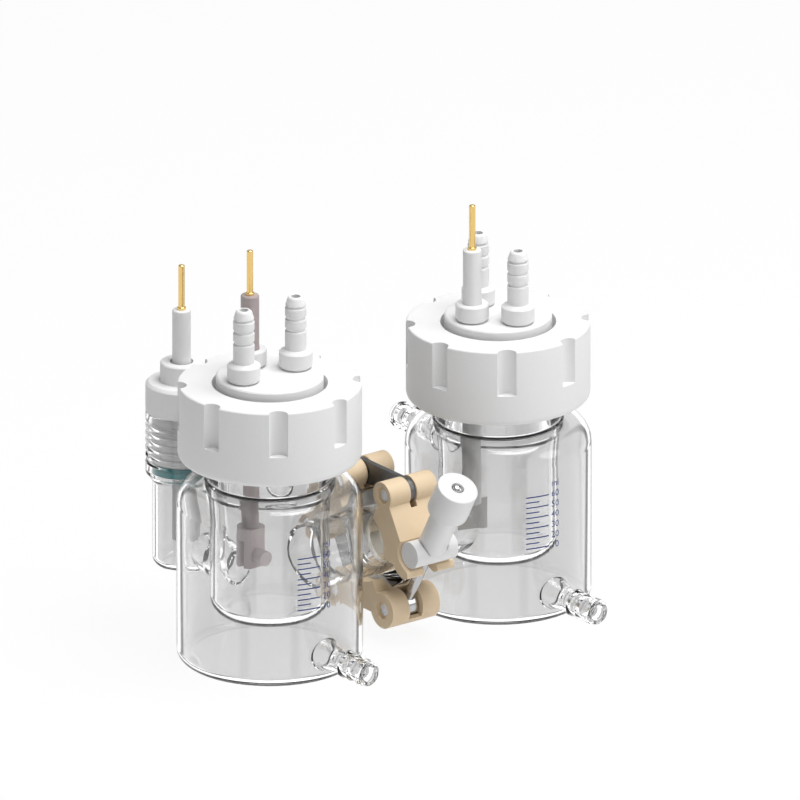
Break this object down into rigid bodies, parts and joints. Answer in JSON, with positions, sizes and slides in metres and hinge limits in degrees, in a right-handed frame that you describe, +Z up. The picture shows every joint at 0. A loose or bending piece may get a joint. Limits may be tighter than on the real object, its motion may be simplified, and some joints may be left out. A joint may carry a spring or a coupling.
{
  "type": "h-type electrolytic cell",
  "caption": "Two jacketed glass cells joined by a clamped membrane bridge, with screw caps, hose barbs, electrodes and a reference chamber.",
  "frame": {"origin": "middle of the whole object's box, on the bench", "axes": "+X from the left cell (working) to the right cell (counter), +Y to the back, +Z up"},
  "size_m": [0.152, 0.1106, 0.1362],
  "materials": {
    "glass": "clear borosilicate glass",
    "white_ptfe": "smooth white fluoroplastic",
    "seal_rubber": "pale elastomer",
    "teal_rubber": "teal elastomer",
    "membrane_film": "thin ion exchange film",
    "beige_plastic": "satin moulded plastic",
    "polished_steel": "polished stainless steel",
    "grey_plastic": "satin mauve grey plastic",
    "gold": "gold plated",
    "platinum": "satin platinum sheet"
  },
  "bodies": {
    "root": {"left_glass_jacket": "glass", "left_water_inlet": "glass", "left_water_outlet": "glass", "right_water_inlet": "glass", "right_water_outlet": "glass", "left_glass_vessel": "glass", "left_bridge_arm": "glass", "side_arm_tube": "glass", "reference_chamber": "glass", "right_glass_jacket": "glass", "right_glass_vessel": "glass", "right_bridge_arm": "glass", "left_flange_gasket": "white_ptfe", "right_flange_gasket": "white_ptfe", "membrane": "membrane_film", "clamp_back_jaw": "beige_plastic", "back_jaw_pins": "polished_steel", "left_neck_seal": "seal_rubber", "right_neck_seal": "seal_rubber"},
    "top_link": {"clamp_top_link": "polished_steel"},
    "front_jaw": {"clamp_front_jaw": "beige_plastic", "front_jaw_pin": "polished_steel"},
    "lower_link": {"clamp_lower_link": "polished_steel"},
    "lower_jaw": {"clamp_lower_jaw": "beige_plastic", "lower_jaw_pins": "polished_steel"},
    "swing_bolt": {"swing_bolt": "polished_steel"},
    "cross_barrel": {"cross_barrel": "white_ptfe"},
    "clamp_knob": {"clamp_knob": "white_ptfe"},
    "left_lid": {"left_lid": "white_ptfe", "left_gas_inlet": "white_ptfe", "left_gas_outlet": "white_ptfe", "left_gland_ring": "seal_rubber"},
    "left_cap": {"left_screw_cap": "white_ptfe"},
    "left_gland": {"left_gland_nut": "white_ptfe"},
    "working_electrode": {"working_electrode_rod": "grey_plastic", "working_contact_pin": "gold", "electrode_clip": "grey_plastic"},
    "clip_screw": {"clip_screw": "grey_plastic"},
    "right_lid": {"right_lid": "white_ptfe", "right_gas_inlet": "white_ptfe", "right_gas_outlet": "white_ptfe", "right_gland_ring": "seal_rubber"},
    "right_cap": {"right_screw_cap": "white_ptfe"},
    "right_gland": {"right_gland_nut": "white_ptfe"},
    "counter_electrode": {"counter_electrode_rod": "white_ptfe", "counter_contact_pin": "gold", "platinum_plate": "platinum"},
    "reference_electrode": {"reference_electrode": "white_ptfe", "reference_contact_pin": "gold"},
    "reference_plug": {"reference_plug": "white_ptfe", "reference_ring": "teal_rubber"}
  },
  "joints": [
    {"name": "left_lid_rise", "type": "slide", "parent": "root", "child": "left_lid", "axis": [0, 0, 1], "range_m": [0, 0.008]},
    {"name": "left_cap_turn", "type": "hinge", "parent": "left_lid", "child": "left_cap", "pos_m": [-0.04605, -0.00285, 0.08], "axis": [0, 0, 1], "range_deg": [0, 720]},
    {"name": "left_gland_turn", "type": "hinge", "parent": "left_lid", "child": "left_gland", "pos_m": [-0.04605, 0.00761, 0.0968], "axis": [0, 0, 1], "range_deg": [0, 360]},
    {"name": "right_lid_rise", "type": "slide", "parent": "root", "child": "right_lid", "axis": [0, 0, 1], "range_m": [0, 0.008]},
    {"name": "right_cap_turn", "type": "hinge", "parent": "right_lid", "child": "right_cap", "pos_m": [0.04605, -0.00285, 0.08], "axis": [0, 0, 1], "range_deg": [0, 720]},
    {"name": "right_gland_turn", "type": "hinge", "parent": "right_lid", "child": "right_gland", "pos_m": [0.03559, -0.00285, 0.0968], "axis": [0, 0, 1], "range_deg": [0, 360]},
    {"name": "working_electrode_slide", "type": "slide", "parent": "left_lid", "child": "working_electrode", "axis": [0, 0, 1], "range_m": [-0.008, 0.028]},
    {"name": "counter_electrode_slide", "type": "slide", "parent": "right_lid", "child": "counter_electrode", "axis": [0, 0, 1], "range_m": [-0.005, 0.03]},
    {"name": "clip_screw_turn", "type": "hinge", "parent": "working_electrode", "child": "clip_screw", "pos_m": [-0.04605, 0.00361, 0.0332], "axis": [0, -1, 0], "range_deg": [0, 360]},
    {"name": "reference_rise", "type": "slide", "parent": "root", "child": "reference_electrode", "axis": [0, 0, 1], "range_m": [0, 0.009]},
    {"name": "reference_plug_turn", "type": "hinge", "parent": "reference_electrode", "child": "reference_plug", "pos_m": [-0.04605, 0.04375, 0.075], "axis": [0, 0, 1], "range_deg": [0, 1080]},
    {"name": "top_link_lift", "type": "hinge", "parent": "root", "child": "top_link", "pos_m": [0, 0.00845, 0.05007], "axis": [-1, 0, 0], "range_deg": [0, 2]},
    {"name": "front_jaw_open", "type": "hinge", "parent": "top_link", "child": "front_jaw", "pos_m": [0, -0.01415, 0.05007], "axis": [-1, 0, 0], "range_deg": [0, 14]},
    {"name": "lower_link_drop", "type": "hinge", "parent": "root", "child": "lower_link", "pos_m": [0, 0.01975, 0.0305], "axis": [1, 0, 0], "range_deg": [0, 1.5]},
    {"name": "lower_jaw_drop", "type": "hinge", "parent": "lower_link", "child": "lower_jaw", "pos_m": [0, 0.00845, 0.01093], "axis": [1, 0, 0], "range_deg": [0, 2]},
    {"name": "bolt_swing", "type": "hinge", "parent": "lower_jaw", "child": "swing_bolt", "pos_m": [0, -0.01415, 0.01093], "axis": [1, 0, 0], "range_deg": [0, 46]},
    {"name": "cross_barrel_slide", "type": "slide", "parent": "swing_bolt", "child": "cross_barrel", "axis": [0, -0.5, 0.866], "range_m": [0, 0.0098]},
    {"name": "clamp_knob_turn", "type": "hinge", "parent": "cross_barrel", "child": "clamp_knob", "pos_m": [0, -0.0271, 0.03336], "axis": [0, -0.5, 0.866], "range_deg": [0, 5040]}
  ],
  "couplings": [
    {"joint": "left_lid_rise", "follows": "left_cap_turn", "m_per_rad": 0.00063662},
    {"joint": "right_lid_rise", "follows": "right_cap_turn", "m_per_rad": 0.00063662},
    {"joint": "reference_rise", "follows": "reference_plug_turn", "m_per_rad": 0.00047746},
    {"joint": "top_link_lift", "follows": "clamp_knob_turn", "ratio": 0.00039683},
    {"joint": "front_jaw_open", "follows": "clamp_knob_turn", "ratio": 0.0027778},
    {"joint": "lower_link_drop", "follows": "clamp_knob_turn", "ratio": 0.00029762},
    {"joint": "lower_jaw_drop", "follows": "clamp_knob_turn", "ratio": 0.00039683},
    {"joint": "bolt_swing", "follows": "clamp_knob_turn", "ratio": 0.009127},
    {"joint": "cross_barrel_slide", "follows": "clamp_knob_turn", "m_per_rad": 0.00011141}
  ]
}
